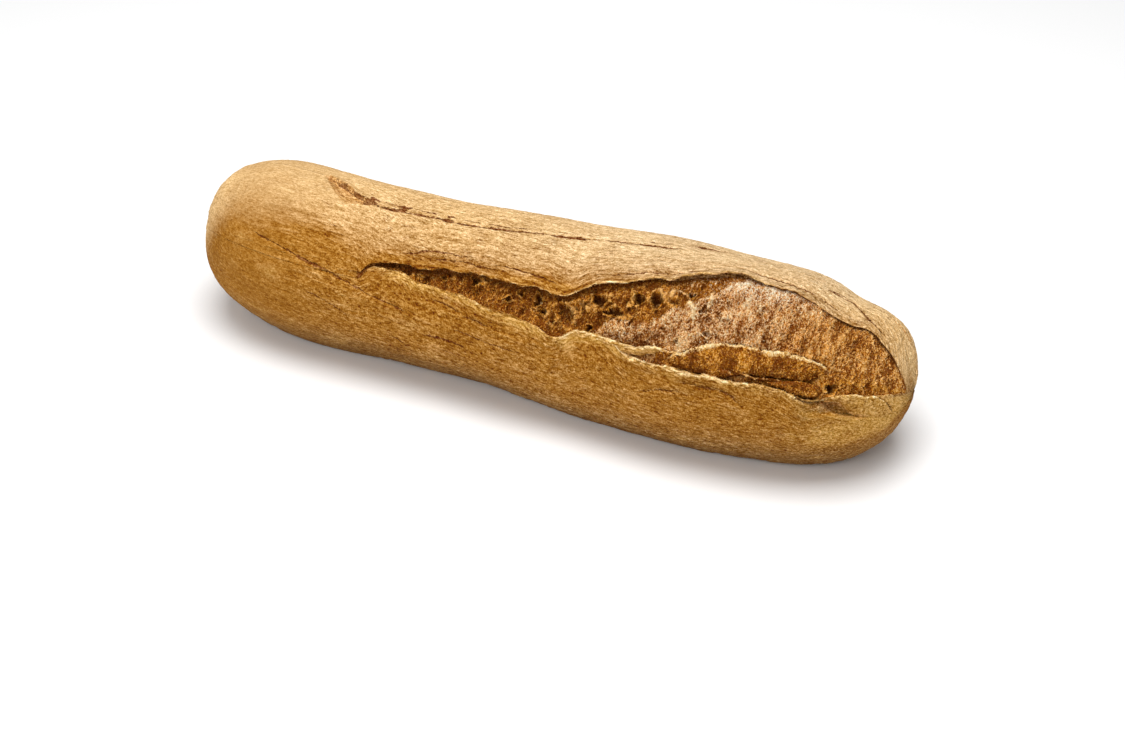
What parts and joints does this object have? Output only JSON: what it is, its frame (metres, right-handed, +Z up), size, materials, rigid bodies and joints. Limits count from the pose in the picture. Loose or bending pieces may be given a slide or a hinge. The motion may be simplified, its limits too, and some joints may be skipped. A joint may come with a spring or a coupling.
{
  "type": "buckwheat bread loaf",
  "caption": "Long uncut buckwheat loaf with a thin score along its crest and a wide tear with rough crumb on the front, lying on a flat base.",
  "frame": {"origin": "under the middle of the loaf, on the surface that it lies on", "axes": "+X along the loaf towards its thicker end, +Z up, -Y towards the side that the wide tear opens to"},
  "size_m": [0.35, 0.0984, 0.0787],
  "materials": {
    "crust": "matte, floury golden brown baked crust"
  },
  "bodies": {
    "root": {"loaf": "crust"}
  },
  "joints": []
}
